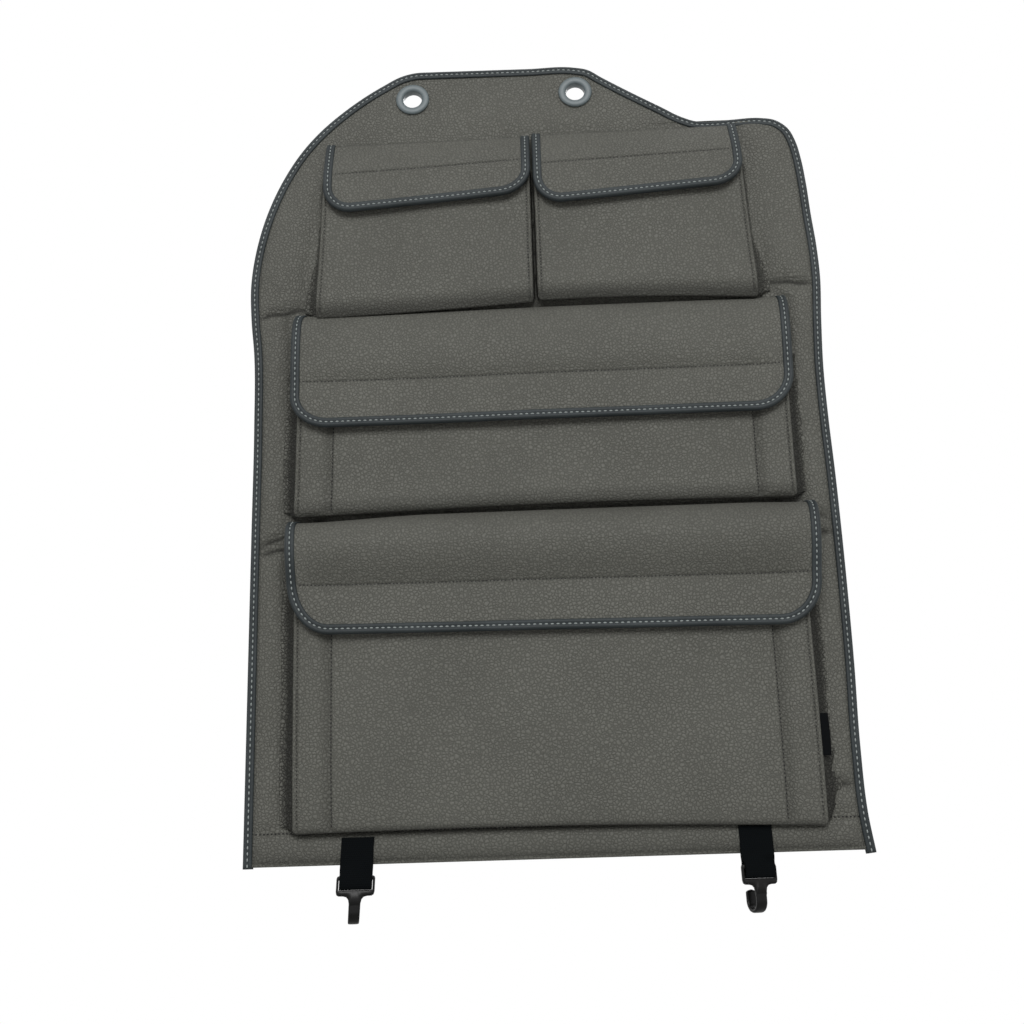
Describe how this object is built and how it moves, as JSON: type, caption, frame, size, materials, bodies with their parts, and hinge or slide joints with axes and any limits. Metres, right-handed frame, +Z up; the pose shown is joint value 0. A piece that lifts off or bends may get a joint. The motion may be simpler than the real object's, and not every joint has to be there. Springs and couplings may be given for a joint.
{
  "type": "car seat back organizer",
  "caption": "Tall bound faux-leather panel with flap pockets, headrest eyelets at the top and hooked straps below; it hangs on the back of a car seat.",
  "frame": {"origin": "midway between the two headrest eyelets, on the lining's back face that lies against the seat", "axes": "+Z up as it hangs, +X to the right seen from the pocket side, +Y out of the back towards the seat"},
  "size_m": [0.452, 0.0402, 0.689],
  "materials": {
    "leather": "pebbled faux leather",
    "binding": "smooth satin tape",
    "lining": "matt felted cloth",
    "board": "matt",
    "eyelet": "satin",
    "fastener": "looped pile",
    "webbing": "woven",
    "hook_plastic": "gloss",
    "label": "woven satin"
  },
  "bodies": {
    "root": {"panel_face": "leather", "stiffener_bottom": "board", "stiffener_middle": "board", "stiffener_top": "board", "panel_lining": "lining", "panel_binding": "binding", "eyelet_left": "eyelet", "eyelet_washer_left": "eyelet", "eyelet_right": "eyelet", "eyelet_washer_right": "eyelet", "upper_left_pocket_front": "leather", "upper_left_pocket_gusset_left": "leather", "upper_left_pocket_gusset_right": "leather", "upper_left_pocket_flap": "leather", "upper_left_pocket_flap_binding": "binding", "upper_left_pocket_loop_tape": "fastener", "upper_left_pocket_hook_tape": "fastener", "upper_right_pocket_front": "leather", "upper_right_pocket_gusset_left": "leather", "upper_right_pocket_gusset_right": "leather", "upper_right_pocket_flap": "leather", "upper_right_pocket_flap_binding": "binding", "upper_right_pocket_loop_tape": "fastener", "upper_right_pocket_hook_tape": "fastener", "middle_pocket_front": "leather", "middle_pocket_gusset_left": "leather", "middle_pocket_gusset_right": "leather", "middle_pocket_flap": "leather", "middle_pocket_flap_binding": "binding", "middle_pocket_loop_tape": "fastener", "middle_pocket_hook_tape": "fastener", "lower_pocket_front": "leather", "lower_pocket_gusset_left": "leather", "lower_pocket_gusset_right": "leather", "lower_pocket_flap": "leather", "lower_pocket_flap_binding": "binding", "lower_pocket_loop_tape": "fastener", "lower_pocket_hook_tape": "fastener", "strap_left": "webbing", "strap_hook_left": "hook_plastic", "strap_right": "webbing", "strap_hook_right": "hook_plastic", "label_tab": "label"}
  },
  "joints": []
}
